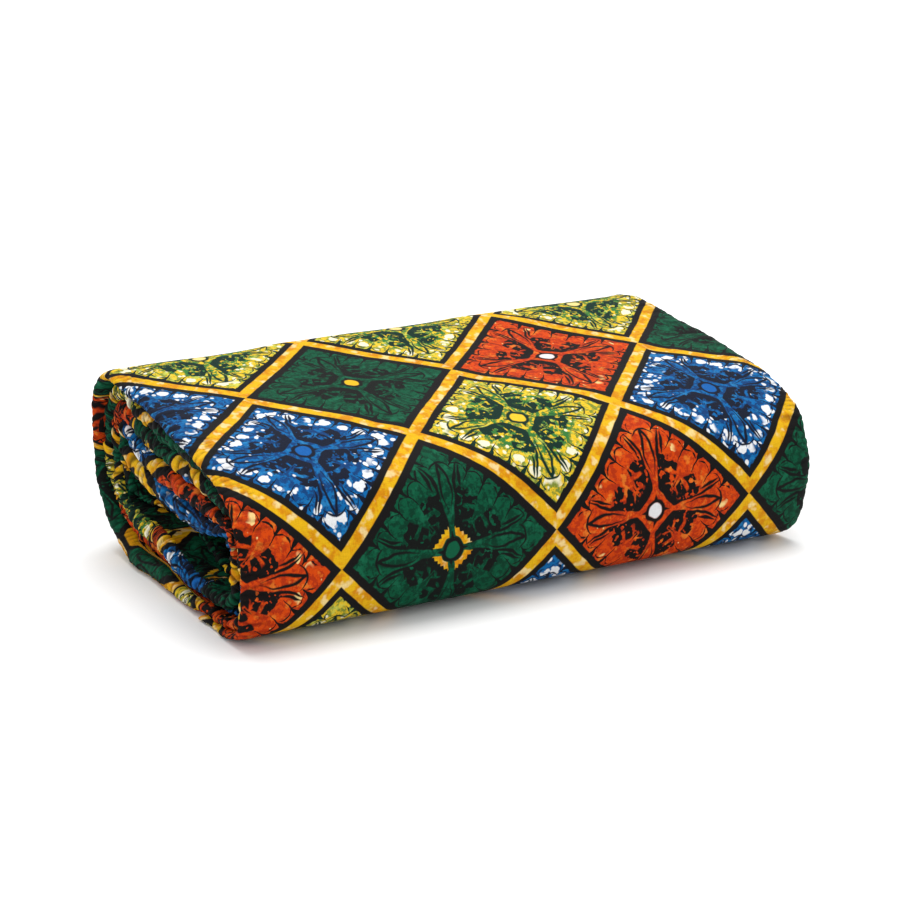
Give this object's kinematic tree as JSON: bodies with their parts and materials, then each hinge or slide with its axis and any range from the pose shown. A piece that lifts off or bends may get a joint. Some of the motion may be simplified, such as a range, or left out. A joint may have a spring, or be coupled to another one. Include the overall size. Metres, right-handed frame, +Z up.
{
  "type": "folded and rolled bundle of wax print fabric",
  "caption": "Length of uncut wax-printed cotton, folded to a strip and wound flat into an oblong bundle with rounded sides, layered open ends and a flat underside.",
  "frame": {"origin": "centre of the bundle's box on the surface that it rests on", "axes": "+X along the bundle, the folded strip's width; +Y from its low front side to its higher back side; +Z up"},
  "size_m": [0.297, 0.182, 0.0897],
  "materials": {
    "wax_printed_cotton": "plain weave cotton, wax-resist print with crackle, slightly glazed"
  },
  "bodies": {
    "root": {"outer_turn": "wax_printed_cotton", "second_turn": "wax_printed_cotton", "third_turn": "wax_printed_cotton", "fourth_turn": "wax_printed_cotton", "inner_fold": "wax_printed_cotton", "hidden_layers": "wax_printed_cotton"}
  },
  "joints": []
}
